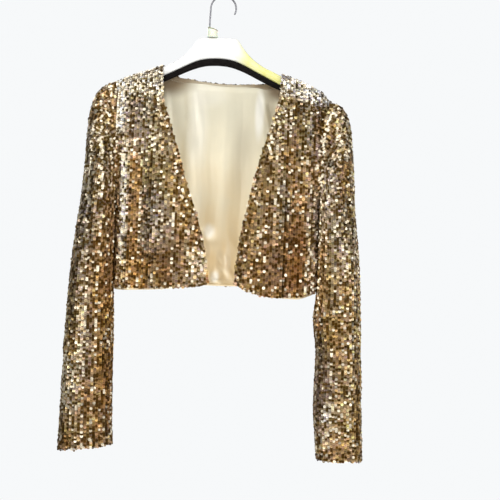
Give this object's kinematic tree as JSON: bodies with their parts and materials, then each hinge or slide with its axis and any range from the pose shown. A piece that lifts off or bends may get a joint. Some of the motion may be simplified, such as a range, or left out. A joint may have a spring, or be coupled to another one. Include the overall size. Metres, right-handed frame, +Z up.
{
  "type": "sequin blouse on hanger",
  "caption": "Cropped open-front sequin blouse with long set-in sleeves and satin back lining, hanging flat on an arched clothes hanger with a wire hook.",
  "frame": {"origin": "inside top of the hook's crook, where the hanger hangs", "axes": "+Z up, the open front faces -Y, the wearer's left sleeve is on +X"},
  "size_m": [0.508, 0.1001, 0.7641],
  "materials": {
    "sequined_cloth": "gold and silver sequins on a soft ground",
    "satin_lining": "cream satin with a soft sheen",
    "neck_binding": "plain taupe tape",
    "hanger_plastic": "glossy white",
    "hanger_grip": "black, slightly soft",
    "hook_wire": "bright wire",
    "collar_plastic": "milky plastic"
  },
  "bodies": {
    "root": {"back_panel": "sequined_cloth", "front_right": "sequined_cloth", "front_left": "sequined_cloth", "sleeve_right": "sequined_cloth", "sleeve_left": "sequined_cloth", "back_lining": "satin_lining", "neck_band": "neck_binding", "hanger_body": "hanger_plastic", "hanger_strip": "hanger_grip", "hanger_hook": "hook_wire", "hanger_collar": "collar_plastic"}
  },
  "joints": []
}
